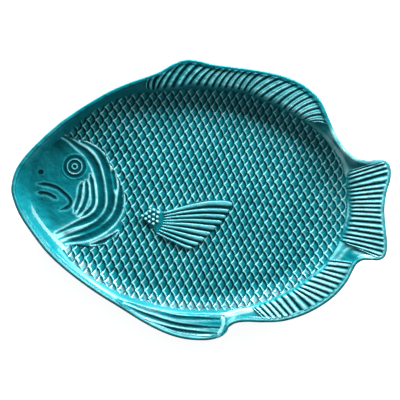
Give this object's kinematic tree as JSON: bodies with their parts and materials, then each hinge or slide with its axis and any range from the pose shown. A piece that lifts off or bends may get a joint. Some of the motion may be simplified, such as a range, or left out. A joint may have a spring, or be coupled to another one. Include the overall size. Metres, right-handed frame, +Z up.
{
  "type": "platter",
  "caption": "Fish shaped ceramic serving platter with a rounded lip, rayed fins, a well covered in raised scales, gill folds, an eye, a raised side fin and a foot ring.",
  "frame": {"origin": "on the table, under the middle of the platter's length and width", "axes": "+X from the nose to the tail, +Y from the belly fin to the back fin, +Z up out of the well"},
  "size_m": [0.4, 0.296, 0.03],
  "materials": {
    "glaze": "glossy translucent teal glaze, dark where it pools and pale where it thins over edges",
    "bare_clay": "matt unglazed clay"
  },
  "bodies": {
    "root": {"platter_body": "glaze", "foot_ring": "bare_clay", "scale_field": "glaze", "gill_folds": "glaze", "eye": "glaze", "dorsal_fin_rays": "glaze", "tail_fin_rays": "glaze", "anal_fin_rays": "glaze", "pelvic_fin_rays": "glaze", "pectoral_fin": "glaze", "fin_root_beads": "glaze"}
  },
  "joints": []
}
